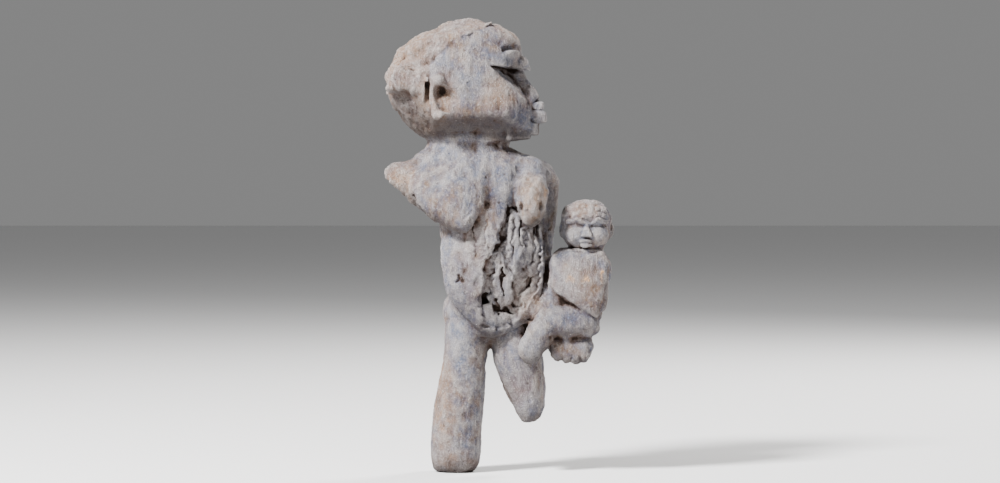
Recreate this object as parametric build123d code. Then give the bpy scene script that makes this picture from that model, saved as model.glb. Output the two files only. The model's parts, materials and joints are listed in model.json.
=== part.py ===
"""Carved wooden maternity figure: a standing woman, head turned to her left, with a child on her left hip.

The real figure is one piece of wood. It is modelled as its carved parts, each a closed solid that meets its
neighbours face to face along the carved lines, so that a part can be recoloured, swapped or measured alone.
Millimetres. Her chest faces -Y, her face and the child's side are at +X, and up is +Z. Shapes are laid out
about the neck's axis, with the standing leg's sole at height 0, and moved to the final origin at the end.
"""

from build123d import *
import os
from math import cos, radians, sin

# ---- driving dimensions -------------------------------------------------------------------------------
FIGURE_HEIGHT = 450.0  # sole of the standing leg to the crown
NECK_HALF_X, NECK_HALF_Y = 42.0, 25.0
NECK_BASE_Z = 320.0  # shoulders start here
WAIST_FRONT_Z = 258.0  # chest ends and the abdomen starts
WAIST_BACK_Z = 186.0  # back of the waist, above the buttocks
TRUNK_X = 22.0  # the trunk leans this far from the neck's axis
HAIR_LINE_X = -38.0  # the hair starts here behind the ears
SOLE_HALF_X, SOLE_HALF_Y = 19.0, 16.0  # flat sole of the standing leg
LEG_Y = 5.0
CHILD_X, CHILD_Y = 117.0, -5.0  # middle of the child's head
CHILD_HEAD_Z = 244.0
ROT_DEPTH = 8.0  # how deep the wood of the belly has rotted away
FINGER_COUNT = 5
FINGER_SPACING, FINGER_RADIUS = 7.4, 4.6


# ---- building blocks ----------------------------------------------------------------------------------
def ellipsoid(centre, radii, turn=(0, 0, 0)):
    """An ellipsoid of the given half lengths with its poles worked flat, turned by degrees about X, Y and Z."""
    rings = [
        Pos(0, 0, radii[2] * sin(radians(tilt)))
        * Ellipse(radii[0] * cos(radians(tilt)), radii[1] * cos(radians(tilt)))
        for tilt in (-75, -50, -25, 0, 25, 50, 75)
    ]
    return Location(centre, turn) * loft(rings)


def upright(stations):
    """A closed solid through level ellipses, each (z, centre x, centre y, half x, half y)."""
    rings = [Pos(x, y, z) * Ellipse(half_x, half_y) for z, x, y, half_x, half_y in stations]
    return loft(rings)


def sideways(stations):
    """A closed solid through ellipses that face +X, each (x, centre y, centre z, half y, half z)."""
    rings = [
        Plane(origin=(x, y, z), x_dir=(0, 1, 0), z_dir=(1, 0, 0)) * Ellipse(half_y, half_z)
        for x, y, z, half_y, half_z in stations
    ]
    return loft(rings)


def limb(start, end, radii, ends=0.35):
    """A round-ended limb between two points; radii run from start to end at even spacing.

    ends is how far each rounded end reaches past its point, as a share of the radius there."""
    start, end = Vector(*start), Vector(*end)
    along = (end - start).normalized()
    last = len(radii) - 1
    stations = [(start - along * radii[0] * ends, radii[0] * 0.62)]
    stations += [(start + (end - start) * (i / last), r) for i, r in enumerate(radii)]
    stations += [(end + along * radii[last] * ends, radii[last] * 0.62)]
    rings = [Plane(origin=p, z_dir=along) * Circle(r) for p, r in stations]
    return loft(rings)


def half_space(point, normal, reach=300.0):
    """A large block that fills everything on the side of the plane that normal points to."""
    plane = Plane(origin=point, z_dir=normal)
    return plane * Pos(0, 0, reach / 2) * Box(reach * 2, reach * 2, reach)


def fitted(shape, *neighbours):
    """shape with its neighbours cut away, so that they meet face to face; offcuts are dropped."""
    for neighbour in neighbours:
        shape = shape - neighbour
    return max(shape.solids(), key=lambda solid: solid.volume)


# ---- the woman's head ---------------------------------------------------------------------------------
def head_block():
    """The whole skull and jaw: a long oval from chin to nape, with the jaw further out than the brow."""
    # (height, back of the section, front of the section, half width)
    profile = [
        (331, -34, 58, 26),
        (337, -50, 66, 38),
        (348, -63, 67, 45),
        (365, -76, 63, 48.5),
        (383, -82, 59, 48),
        (402, -80, 54, 46),
        (420, -68, 49, 40),
        (436, -47, 39, 30),
        (446, -22, 27, 17),
        (FIGURE_HEIGHT, -6, 18, 8),
    ]
    return upright([(z, (back + front) / 2, 0, (front - back) / 2, half) for z, back, front, half in profile])


def hair_region():
    """The space behind the hairline, which runs up behind the ears and forward over the crown."""
    line = [(-120, 300), (HAIR_LINE_X, 300), (HAIR_LINE_X, 405), (-14, 430), (28, 446), (28, 500), (-120, 500)]
    outline = make_face(Polyline([(x, z) for x, z in line], close=True))
    return Plane.XZ * extrude(outline, 80, both=True)


def ear(side):
    """A flat C-shaped ear, open to the face. side is -1 for the right ear and +1 for the left."""
    shell = ellipsoid((-26, side * 46, 371), (14, 8.5, 21), (0, -8, 0))
    return shell - ellipsoid((-20, side * 54, 371), (11, 5, 13), (0, -8, 0))


def right_brow():
    """A thick ridge that follows the curve of the forehead."""
    return limb((50.5, -8, 408), (32, -37, 408), (7, 8.5, 7))


def eye_hollow(side):
    """The deep slot of an eye under its brow."""
    return ellipsoid((49, side * 21, 399), (8, 15, 5.5), (0, 0, side * 38))


def nose():
    """A straight wedge with a flat underside."""
    return upright([(373, 55, 0, 13, 15), (381, 55, 0, 12, 13.5), (392, 52, 0, 7, 7), (403, 50, 0, 6, 6)])


def lip(bottom, top, reach, half_width):
    """A flat lip that juts straight out: an oval slab with soft edges."""
    slab = Pos(45, 0, bottom) * extrude(Ellipse(reach - 45, half_width), top - bottom)
    return fillet(slab.edges(), (top - bottom) * 0.3)


# ---- the woman's body ---------------------------------------------------------------------------------
def neck():
    return upright(
        [
            (NECK_BASE_Z, 0, 0, NECK_HALF_X + 3, NECK_HALF_Y + 2),
            (327, 0, 0, NECK_HALF_X, NECK_HALF_Y),
            (340, 0, 0, NECK_HALF_X, NECK_HALF_Y),
        ]
    )


def chest():
    """The shoulder yoke, which widens under the neck and narrows to the waist."""
    return upright(
        [
            (WAIST_FRONT_Z, TRUNK_X, 2, 50, 37),
            (280, 19, 2, 58, 37),
            (299, 13, 1, 66, 36),
            (312, 6, 0, 62, 32),
            (NECK_BASE_Z, 0, 0, NECK_HALF_X + 3, NECK_HALF_Y + 2),
        ]
    )


def rotted_pocket(core):
    """The wood missing from the belly: a ragged outline cut in as deep as a sound inner core."""
    ragged = [(38, 266), (55, 262), (64, 240), (68, 205), (60, 178), (46, 158), (22, 147), (8, 160)]
    ragged += [(16, 180), (9, 196), (22, 216), (34, 236), (32, 250)]
    outline = make_face(Polyline([(x, z) for x, z in ragged], close=True))
    return Pos(0, -25, 0) * Plane.XZ * extrude(outline, 60) - core


def abdomen():
    """The trunk below the chest and the full belly that hangs in front of the hips."""
    trunk_rings = [
        (WAIST_BACK_Z, TRUNK_X + 1, 3, 46, 34),
        (205, TRUNK_X + 1, 1, 47, 38),
        (232, TRUNK_X, 1, 49, 38.5),
        (WAIST_FRONT_Z, TRUNK_X, 2, 50, 37),
    ]
    belly_centre, belly_radii = (TRUNK_X + 1, -7, 194), (45, 34, 55)
    whole = upright(trunk_rings) + ellipsoid(belly_centre, belly_radii)
    whole = whole - half_space((0, 0, WAIST_FRONT_Z), (0, 0, 1))
    core = upright([(z, x, y, a - ROT_DEPTH, b - ROT_DEPTH) for z, x, y, a, b in trunk_rings])
    core_radii = [r - ROT_DEPTH for r in belly_radii]
    core = core + ellipsoid(belly_centre, core_radii)
    return whole - rotted_pocket(core)


def pelvis():
    """Hips and buttocks."""
    hips = ellipsoid((TRUNK_X + 1, 10, 160), (49, 34, 34))
    cheeks = ellipsoid((4, 26, 158), (25, 24, 25)) + ellipsoid((46, 26, 160), (24, 22, 24))
    return hips + cheeks


def arm_stump():
    """The right upper arm, broken off on a slant."""
    arm = sideways([(-82, 1, 291, 19, 15), (-55, 1, 286, 23, 26), (-25, 2, 281, 27, 34), (5, 2, 278, 29, 38)])
    return arm - half_space((-72, 0, 290), (-0.67, 0.22, -0.71))


def standing_leg():
    """The whole right leg, down to a flat sole."""
    return upright(
        [
            (0, -14, LEG_Y, SOLE_HALF_X, SOLE_HALF_Y),
            (7, -13.5, LEG_Y, 23.5, 20.5),
            (26, -13, LEG_Y, 25, 23),
            (52, -11.5, LEG_Y, 24.5, 23.5),
            (85, -7.5, LEG_Y, 23.5, 23.5),
            (127, -2, LEG_Y, 22, 24),
            (158, 3, LEG_Y + 2, 22, 25),
        ]
    )


def leg_stump():
    """The left leg, broken off above the knee on a slant that rises towards the inside and the back."""
    leg = upright(
        [
            (50, 58, LEG_Y - 8, 8, 9),
            (60, 57.5, LEG_Y - 3, 17, 18),
            (75, 56, LEG_Y, 20.5, 22),
            (95, 52.5, LEG_Y, 23, 23.5),
            (125, 48, LEG_Y, 24, 24),
            (158, 43, LEG_Y + 2, 24, 25),
        ]
    )
    return leg - half_space((45, LEG_Y + 6, 62), (-0.42, 0.52, -0.74))


def upper_arm():
    return upright(
        [
            (186, 65, 27, 13, 14),
            (198, 66, 25, 15.5, 17),
            (235, 67, 19, 16, 19),
            (275, 71, 13, 17, 22),
            (296, 73, 8, 16, 22),
            (307, 70, 5, 11, 15),
        ]
    )


def forearm():
    return limb((66, 27, 189), (96, 15, 128), (15, 16.5, 17, 16))


def hand():
    """The hand that carries the child, palm up, with its fingers curled down at the front."""
    palm = ellipsoid((100, -6, 126), (22, 21, 12))
    for i in range(FINGER_COUNT):
        x = 100 + (i - (FINGER_COUNT - 1) / 2) * FINGER_SPACING
        finger = Pos(x, -23, 123) * Cylinder(FINGER_RADIUS, 8) + Pos(x, -23, 127) * Sphere(FINGER_RADIUS)
        palm = palm + finger + Pos(x, -23, 119) * Sphere(FINGER_RADIUS)
    return palm


# ---- the child ----------------------------------------------------------------------------------------
def child_head():
    return ellipsoid((CHILD_X, CHILD_Y, CHILD_HEAD_Z), (23.5, 27, 25))


def child_ear(side):
    return ellipsoid((CHILD_X + side * 23, CHILD_Y + 3, CHILD_HEAD_Z - 4), (4.5, 5, 8))


def child_torso():
    """A flat slab of a body, narrowing to the hips."""
    return upright(
        [
            (148, 108, -2, 20, 18),
            (165, 109, -4, 25, 20),
            (190, 110, -6, 28, 20),
            (208, 112, -6, 27, 19),
            (219, 115, -6, 20, 15),
            (226, 116, -6, 14, 12),
        ]
    )


def child_arm(side):
    """An arm that lies along the torso's edge; both hands meet low on the child's left."""
    if side < 0:
        upper = limb((92, -8, 209), (87, -13, 190), (9, 9.5))
        return upper + limb((87, -13, 190), (121, -23, 163), (9.5, 9, 7))
    return limb((133, -8, 208), (128, -20, 163), (8.5, 9, 7))


def child_thigh():
    return sideways([(72, -22, 154, 12, 13), (90, -22, 151, 15, 15), (112, -18, 149, 15, 14), (128, -14, 149, 10, 9)])


def child_shin():
    return limb((78, -25, 153), (57, -31, 120), (12, 12.5, 9.5))


def child_far_leg():
    return ellipsoid((106, 15, 164), (18, 12, 20), (0, 25, 0))


# ---- assembly -----------------------------------------------------------------------------------------
def woman():
    """Every carved part of the woman, by name."""
    skull, hair = head_block(), hair_region()
    parts = {"head": fitted(skull, hair, eye_hollow(-1), eye_hollow(1)), "hair_cap": fitted(skull & hair)}
    parts["right_ear"] = fitted(ear(-1), skull)
    parts["left_ear"] = fitted(ear(1), skull)
    parts["right_brow"] = fitted(right_brow(), skull)
    parts["left_brow"] = mirror(parts["right_brow"], about=Plane.XZ)
    parts["nose"] = fitted(nose(), skull, parts["right_brow"], parts["left_brow"])
    parts["upper_lip"] = fitted(lip(365, 372, 74, 17), skull, parts["nose"])
    parts["lower_lip"] = fitted(lip(353, 362, 77, 19), skull)
    parts["neck"] = fitted(neck(), skull)
    parts["chest"] = fitted(chest())
    parts["abdomen"] = fitted(abdomen())
    body = (parts["chest"], parts["abdomen"])
    parts["right_breast"] = fitted(ellipsoid((-12, -28, 270), (24, 23, 30), (-14, 8, 0)), *body)
    parts["left_breast"] = fitted(ellipsoid((62, -32, 270), (15, 22, 26), (-14, 0, 0)), *body)
    parts["right_arm_stump"] = fitted(arm_stump(), *body, parts["right_breast"])
    parts["pelvis"] = fitted(pelvis(), parts["abdomen"])
    hips = (parts["pelvis"], parts["abdomen"])
    parts["right_leg"] = fitted(standing_leg(), *hips)
    parts["left_leg_stump"] = fitted(leg_stump(), *hips)
    parts["left_upper_arm"] = fitted(upper_arm(), *body, parts["left_breast"])
    parts["left_forearm"] = fitted(forearm(), parts["left_upper_arm"], *hips)
    parts["left_hand"] = fitted(hand(), parts["left_forearm"])
    return parts


def child(woman_parts):
    """Every carved part of the child, by name, cut to fit against the woman."""
    touching = ("abdomen", "pelvis", "left_upper_arm", "left_forearm", "left_hand", "left_leg_stump")
    carrier = [woman_parts[name] for name in touching]
    parts = {"child_torso": fitted(child_torso(), *carrier)}
    parts["child_head"] = fitted(child_head(), parts["child_torso"], woman_parts["left_upper_arm"])
    for name, side in (("child_right_ear", -1), ("child_left_ear", 1)):
        parts[name] = fitted(child_ear(side), parts["child_head"], parts["child_torso"])
    for name, side in (("child_right_arm", -1), ("child_left_arm", 1)):
        parts[name] = fitted(child_arm(side), *parts.values(), *carrier)
    parts["child_right_thigh"] = fitted(child_thigh(), *parts.values(), *carrier)
    parts["child_right_shin"] = fitted(child_shin(), *parts.values(), *carrier)
    parts["child_left_leg"] = fitted(child_far_leg(), *parts.values(), *carrier)
    return parts


def to_origin(parts):
    """Moves the figure so that the origin is at the middle of its footprint, on the ground."""
    boxes = [part.bounding_box() for part in parts.values()]
    middle_x = (min(box.min.X for box in boxes) + max(box.max.X for box in boxes)) / 2
    middle_y = (min(box.min.Y for box in boxes) + max(box.max.Y for box in boxes)) / 2
    lowest = min(box.min.Z for box in boxes)
    print("moved by", -middle_x, -middle_y, -lowest)
    return {name: Pos(-middle_x, -middle_y, -lowest) * part for name, part in parts.items()}


def main():
    os.makedirs("parts", exist_ok=True)
    parts = woman()
    parts.update(child(parts))
    for name, part in to_origin(parts).items():
        export_step(part, f"parts/{name}.step")


main()
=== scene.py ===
"""The looks of a weathered one-piece wooden maternity carving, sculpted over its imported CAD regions.

The CAD nodes become one block of clay: a grid of signed distances in millimetres. Features are pressed into and
laid onto that block, it is meshed once, and the mesh is cut along the CAD regions into one piece for each node.
Sculpting coordinates are millimetres from the neck's axis and the sole: +X is where the face looks, -Y is where
the chest looks, +Z is up.
"""
import json
import math

import bpy
import numpy as np
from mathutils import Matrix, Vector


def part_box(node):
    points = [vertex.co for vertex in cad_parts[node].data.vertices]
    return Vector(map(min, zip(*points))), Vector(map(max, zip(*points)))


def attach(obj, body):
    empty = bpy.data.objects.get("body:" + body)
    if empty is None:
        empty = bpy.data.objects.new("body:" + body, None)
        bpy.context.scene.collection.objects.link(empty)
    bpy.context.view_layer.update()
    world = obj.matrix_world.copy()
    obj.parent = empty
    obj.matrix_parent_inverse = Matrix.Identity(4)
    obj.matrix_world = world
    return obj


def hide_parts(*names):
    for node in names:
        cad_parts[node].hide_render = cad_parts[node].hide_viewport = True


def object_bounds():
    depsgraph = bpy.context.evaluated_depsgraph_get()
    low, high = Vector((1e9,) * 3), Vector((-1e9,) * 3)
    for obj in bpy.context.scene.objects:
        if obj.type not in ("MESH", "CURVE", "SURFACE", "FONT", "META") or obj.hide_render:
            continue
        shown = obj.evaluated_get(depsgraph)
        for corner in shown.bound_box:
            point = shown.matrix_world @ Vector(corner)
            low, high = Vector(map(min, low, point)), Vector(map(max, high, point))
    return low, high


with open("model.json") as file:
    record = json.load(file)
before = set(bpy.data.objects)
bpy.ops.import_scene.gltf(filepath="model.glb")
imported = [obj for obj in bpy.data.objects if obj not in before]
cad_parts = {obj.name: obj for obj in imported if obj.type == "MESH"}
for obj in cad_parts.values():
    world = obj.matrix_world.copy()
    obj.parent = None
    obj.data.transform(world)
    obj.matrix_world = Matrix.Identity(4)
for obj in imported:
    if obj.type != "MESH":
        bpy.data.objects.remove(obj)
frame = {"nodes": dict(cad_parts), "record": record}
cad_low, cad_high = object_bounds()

import openvdb as vdb
from mathutils import Euler, Vector, kdtree

MM = 0.001
STEP = 1.0  # size of a voxel, mm
COARSE = 2  # CAD regions are measured on a grid this many times coarser
BAND = 12.0  # distances are true this far from a surface, mm
MARGIN = 7.0  # empty space around the CAD box, mm
REACH = 3.0  # the clay is worked this far past a shape and its fillet, mm
# CAD nodes that stay out of the clay, because their features are sculpted afresh
FACE_FEATURES = ("nose", "right_brow", "left_brow", "right_ear", "left_ear", "upper_lip", "lower_lip")

NODES = sorted(frame["nodes"])
neck_low, neck_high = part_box("neck")
ORIGIN = np.array([(neck_low.x + neck_high.x) / 2, (neck_low.y + neck_high.y) / 2, cad_low.z]) / MM
LOW = np.array(cad_low) / MM - ORIGIN - MARGIN
CELLS = np.ceil((np.array(cad_high - cad_low) / MM + 2 * MARGIN) / (STEP * COARSE)).astype(int)
COARSE_SHAPE = tuple(int(n) for n in CELLS + 1)
SHAPE = tuple(int(n) for n in CELLS * COARSE + 1)


def middle(node):
    """The middle of a CAD node's box in sculpting coordinates."""
    low, high = (np.array(corner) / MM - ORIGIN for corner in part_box(node))
    return (low + high) / 2


# ---- grids of distances ----
def level_set(points, triangles, quads, step, shape):
    """Signed distances in mm to a closed mesh, true within BAND of it, on a grid of that step and shape."""
    index = ((points - LOW) / step).astype(np.float32)
    grid = vdb.FloatGrid.createLevelSetFromPolygons(
        index, triangles=triangles, quads=quads, transform=vdb.createLinearTransform(1.0), halfWidth=BAND / step)
    out = np.full(shape, BAND / step, np.float32)
    grid.copyToArray(out)
    return out * step


def isosurface(field, step):
    """Points in mm and quads of the surface where field is zero."""
    grid = vdb.FloatGrid(BAND)
    grid.copyFromArray(np.ascontiguousarray(field, np.float32))
    points, quads = grid.convertToQuads(0.0)
    return points.astype(np.float64) * step + LOW, quads


def rows(items, name, width, kind=float):
    """A property of a mesh's vertices, corners or faces, as rows of that width."""
    values = np.zeros(len(items) * width, kind)
    items.foreach_get(name, values)
    return values.reshape(-1, width)


def node_mesh(node):
    """Points in sculpting coordinates and triangles of a CAD node."""
    mesh = frame["nodes"][node].data
    mesh.calc_loop_triangles()
    triangles = rows(mesh.loop_triangles, "vertices", 3, np.int32)
    return rows(mesh.vertices, "co", 3) / MM - ORIGIN, triangles.astype(np.uint32)


def joined(meshes):
    """Several meshes as one, as points and triangles."""
    starts = np.cumsum([0] + [len(points) for points, _ in meshes])
    triangles = np.concatenate([faces + start for (_, faces), start in zip(meshes, starts)])
    return np.concatenate([points for points, _ in meshes]), triangles.astype(np.uint32)


def finer(field):
    """field on a grid with half the step."""
    for axis in range(3):
        field = np.moveaxis(field, axis, 0)
        out = np.empty((2 * len(field) - 1, *field.shape[1:]), np.float32)
        out[::2] = field
        out[1::2] = (field[1:] + field[:-1]) / 2
        field = np.moveaxis(out, 0, axis)
    return np.ascontiguousarray(field)


def blurred(field, rounds):
    """field with every point averaged with its neighbours, so many times over."""
    for axis in range(3):
        field = np.moveaxis(field, axis, 0)
        for _ in range(rounds):
            inner = (field[:-2] + field[2:]) * 0.25 + field[1:-1] * 0.5
            field = np.concatenate([field[:1], inner, field[-1:]])
        field = np.moveaxis(field, 0, axis)
    return np.ascontiguousarray(field)


def cad_block():
    """The distance to each CAD node on the coarse grid, and to most of them together with softened creases."""
    step = STEP * COARSE
    meshes = {node: node_mesh(node) for node in NODES}
    near = {node: level_set(*meshes[node], None, step, COARSE_SHAPE) for node in NODES}
    sound = joined([meshes[node] for node in NODES if node not in FACE_FEATURES])
    whole = level_set(*sound, None, step, COARSE_SHAPE)
    outer, quads = isosurface(whole, step)
    return near, blurred(level_set(outer, None, quads, step, COARSE_SHAPE), 2)


# ---- shapes: each is (lowest corner, highest corner, distance from x, y, z) ----
def turned(centre, turn):
    """A function from x, y, z to coordinates about centre, in axes turned by degrees about X, Y and Z."""
    rows = np.array(Euler([math.radians(a) for a in turn]).to_matrix()).T

    def local(x, y, z):
        x, y, z = x - centre[0], y - centre[1], z - centre[2]
        return [row[0] * x + row[1] * y + row[2] * z for row in rows]

    return local


def ellipsoid(centre, radii, turn=(0, 0, 0)):
    """An ellipsoid, with a distance that is true near its surface."""
    centre, radii = np.array(centre, float), np.array(radii, float)
    local = turned(centre, turn)

    def distance(x, y, z):
        parts = [axis / r for axis, r in zip(local(x, y, z), radii)]
        q = np.sqrt(parts[0] ** 2 + parts[1] ** 2 + parts[2] ** 2)
        slope = np.sqrt(sum((part / r) ** 2 for part, r in zip(parts, radii)))
        return q * (q - 1) / (slope + 1e-4)

    return centre - max(radii), centre + max(radii), distance


def block(centre, half, edge, turn=(0, 0, 0)):
    """A box of that half size with its edges rounded."""
    centre, half = np.array(centre, float), np.array(half, float) - edge
    local = turned(centre, turn)

    def distance(x, y, z):
        out = [np.abs(axis) - h for axis, h in zip(local(x, y, z), half)]
        beyond = np.sqrt(sum(np.maximum(axis, 0) ** 2 for axis in out))
        return beyond + np.minimum(np.maximum(np.maximum(out[0], out[1]), out[2]), 0) - edge

    reach = np.linalg.norm(half) + edge
    return centre - reach, centre + reach, distance


def tube(points, radii):
    """A round-ended tube through points, with a radius at each of them."""
    points = np.array(points, float)
    radii = np.broadcast_to(np.array(radii, float), len(points))

    def distance(x, y, z):
        best = np.float32(1e9)
        for a, b, ra, rb in zip(points, points[1:], radii, radii[1:]):
            way = b - a
            t = ((x - a[0]) * way[0] + (y - a[1]) * way[1] + (z - a[2]) * way[2]) / (way @ way)
            t = np.clip(t, 0, 1)
            gap = np.sqrt((x - a[0] - t * way[0]) ** 2 + (y - a[1] - t * way[1]) ** 2
                          + (z - a[2] - t * way[2]) ** 2) - (ra + t * (rb - ra))
            best = np.minimum(best, gap)
        return best

    reach = max(radii)
    return points.min(0) - reach, points.max(0) + reach, distance


def hull(low, high, planes, edge):
    """What lies behind all planes, each (point, outward normal), with its edges rounded over edge mm.

    low and high only bound the work, so the planes have to close the shape before it reaches them.
    """
    planes = [(np.array(p, float), np.array(n, float) / np.linalg.norm(n)) for p, n in planes]

    def distance(x, y, z):
        best = np.float32(-1e9)
        for p, n in planes:
            side = (x - p[0]) * n[0] + (y - p[1]) * n[1] + (z - p[2]) * n[2]
            best = -soft_min(-best, -side, edge)
        return best

    return np.array(low, float), np.array(high, float), distance


def both(one, other, soft):
    """What lies in both shapes, inside the first one's box."""

    def distance(x, y, z):
        return -soft_min(-one[2](x, y, z), -other[2](x, y, z), soft)

    return one[0], one[1], distance


# ---- working the clay ----
def soft_min(a, b, soft):
    """The lower of a and b, with the meeting line rounded over soft mm."""
    h = np.clip(0.5 + 0.5 * (b - a) / soft, 0, 1)
    return b + (a - b) * h - soft * h * (1 - h)


def eased(t):
    """t from 0 to 1, with a level start and end."""
    return t * t * (3 - 2 * t)


def ramp(value, start, end):
    """0 up to start, 1 from end on, and smooth in between."""
    return eased(np.clip((value - start) / (end - start), 0, 1))


def window(low, high, grow=0.0):
    """The part of the grid in a box, as slices, with the x, y and z of its points."""
    first = np.clip(np.floor((np.array(low, float) - grow - LOW) / STEP).astype(int), 0, SHAPE)
    last = np.clip(np.ceil((np.array(high, float) + grow - LOW) / STEP).astype(int) + 1, 0, SHAPE)
    axes = [(np.arange(a, b) * STEP + origin).astype(np.float32) for a, b, origin in zip(first, last, LOW)]
    x, y, z = axes[0][:, None, None], axes[1][None, :, None], axes[2][None, None, :]
    return tuple(slice(a, b) for a, b in zip(first, last)), x, y, z


def add(shape, soft):
    """Lays a shape onto the clay, with a fillet of that size."""
    part, x, y, z = window(shape[0], shape[1], soft + REACH)
    clay[part] = soft_min(clay[part], shape[2](x, y, z), soft)


def cut(shape, soft):
    """Presses a shape out of the clay, with its rim rounded over that size."""
    part, x, y, z = window(shape[0], shape[1], soft + REACH)
    clay[part] = -soft_min(-clay[part], shape[2](x, y, z), soft)


def noise(x, y, z, size, seed):
    """Smooth random values from -1 to 1 on a box of grid points, with lumps of that size along X, Y and Z."""
    counts = [int(np.ceil(n * STEP / s)) + 3 for n, s in zip(SHAPE, size)]
    values = np.random.default_rng(seed).uniform(-1, 1, counts).astype(np.float32)
    for axis, (coordinate, s, origin) in enumerate(zip((x, y, z), size, LOW)):
        at = (coordinate.ravel() - origin) / s
        low = np.floor(at).astype(int)
        t = eased(at - low).reshape([-1 if i == axis else 1 for i in range(3)])
        values = np.take(values, low, axis) * (1 - t) + np.take(values, low + 1, axis) * t
    return values


def rough(low, high, share, layers):
    """Moves the surface inside a box: each layer is (height mm, lump size, seed), weighed by share(x, y, z)."""
    part, x, y, z = window(low, high)
    total = sum(height * noise(x, y, z, size, seed) for height, size, seed in layers)
    clay[part] -= total * share(x, y, z)


# ---- the woman's head ----
def hair_depth(x, z):
    """How far a point lies behind the hairline, in mm."""
    behind_ear = -38 - x
    over_temple = (x + 38) * -0.72 + (z - 405) * 0.69
    over_brow = (x + 14) * -0.356 + (z - 430) * 0.935
    return np.maximum(np.maximum(behind_ear, over_temple), over_brow)


def half_box(side, x, y, z):
    """The corners of a box from the middle plane out to y on one side. x and z are (low, high)."""
    return (x[0], min(0, side * y), z[0]), (x[1], max(0, side * y), z[1])


def sculpt_face(side):
    """Cheek, socket, brow and jaw of one side of the face. side is -1 for her right."""
    add(ellipsoid((28, side * 25, 364), (25, 22, 28)), 10)
    add(ellipsoid((27, side * 20, 418), (20, 17, 20)), 9)
    add(ellipsoid((8, side * 30, 396), (32, 14.5, 25)), 8)
    add(hull(*half_box(side, (0, 66), 50, (334, 398)), [  # the cheek, cut flat towards the mouth
        ((61, side * 14, 368), (0.86, side * 0.36, 0.5)), ((64, side * 12, 352), (0.93, side * 0.3, -0.1)),
        ((44, side * 36, 364), (0.5, side * 0.86, 0.1)), ((28, side * 45, 364), (0, side, 0.05)),
        ((40, side * 36, 344), (0.2, side * 0.5, -0.8)), ((16, side * 44, 364), (-0.35, side * 0.94, 0)),
        ((32, side * 43.5, 384), (0, side * 0.88, 0.47)), ((40, side * 30, 396), (0, 0, 1)),
        ((60, 0, 335), (0.15, 0, -0.99)), ((2, 0, 340), (-0.6, 0, -0.8)),
    ], 4), 5)
    add(ellipsoid((58, side * 9, 372), (8, 9, 12)), 4)
    cut(hull(*half_box(side, (24, 80), 50, (374, 404.5)), [  # the slanted eye socket
        ((28, side * 28, 402), (-0.72, side * -0.27, -0.64)), ((50, side * 20, 402.5), (0.05, 0, 1)),
        ((50, side * 6, 398), (0.1, -side, -0.4)),
    ], 1.5), 1.2)
    cut(ellipsoid((42, side * 20, 398.5), (11, 14, 4.4), (0, 0, side * 40)), 1.5)
    cut(ellipsoid((50, side * 23, 401), (13, 14, 5.4)), 1.5)
    add(hull(*half_box(side, (20, 64), 48, (396, 428)), [  # the brow, a straight bar over the socket
        ((45, side * 20, 403.4), (-0.08, side * 0.04, -1)), ((57, side * 8, 408), (0.76, side * 0.62, 0.2)),
        ((36, side * 37, 405), (-0.5, side * 0.8, 0.25)), ((33, side * 30, 408), (-0.85, side * 0.1, 0.5)),
        ((42, side * 28, 421), (0.52, side * 0.1, 0.85)), ((58.3, 0, 405.5), (0.84, 0, 0.54)),
    ], 1.4), 2.5)
    cut(hull(*half_box(side, (-40, 80), 60, (326, 350)), [  # the jaw's lower edge
        ((20, side * 38, 347), (0, side * -0.62, 0.78)), ((20, side * 26.5, 330), (0, -side, 0)),
        ((20, 0, 325), (0, 0, -1)), ((-36, 0, 340), (-0.8, 0, 0.6))], 1), 2)
    cut(tube([(54, side * 9, 421), (46, side * 24, 424), (36, side * 36, 420)], (3.2, 4.4, 3)), 2.5)
    add(ellipsoid((53.5, side * 10, 408.5), (5.5, 9, 5)), 2.5)


def sculpt_crown():
    """A broad, flattened crown over a square forehead."""
    add(ellipsoid((31, 0, 425), (20.5, 27, 15)), 8)
    sides = [((0, s * 41, 405), (0, s * 0.995, 0.1)) for s in (-1, 1)]
    bevels = [((0, s * 32, 437), (0, s * 0.62, 0.78)) for s in (-1, 1)]
    corners = [((34, s * 30, 420), (0.62, s * 0.7, 0.36)) for s in (-1, 1)]
    add(hull((-90, -50, 372), (60, 50, 450), sides + bevels + corners + [
        ((33, 0, 439), (0.76, 0, 0.65)), ((18, 0, 444.5), (-0.19, 0, 0.98)), ((-45, 0, 432), (-0.68, 0, 0.73)),
        ((-66, 0, 410), (-0.9, 0, 0.43)), ((0, 0, 380), (0, 0, -1)), ((46.5, 0, 423), (0.95, 0, 0.3)),
        ((40, 0, 410), (0.6, 0, -0.8))], 5), 6)


def sculpt_nose():
    """A wedge of a nose with two shallow nostrils."""
    add(hull((40, -18, 366), (72, 18, 404), [
        ((55.3, 0, 396), (0.835, 0, 0.55)), ((66.5, 0, 372), (0.5, 0, -0.86)), ((50, 6.2, 398), (0, 1, 0.33)),
        ((50, -6.2, 398), (0, -1, 0.33)), ((50, 0, 403), (0, 0, 1))], 2.4), 1.5)
    for side in (-1, 1):
        cut(ellipsoid((65, side * 6.5, 369.5), (4, 3.2, 3.2)), 1.5)


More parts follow.
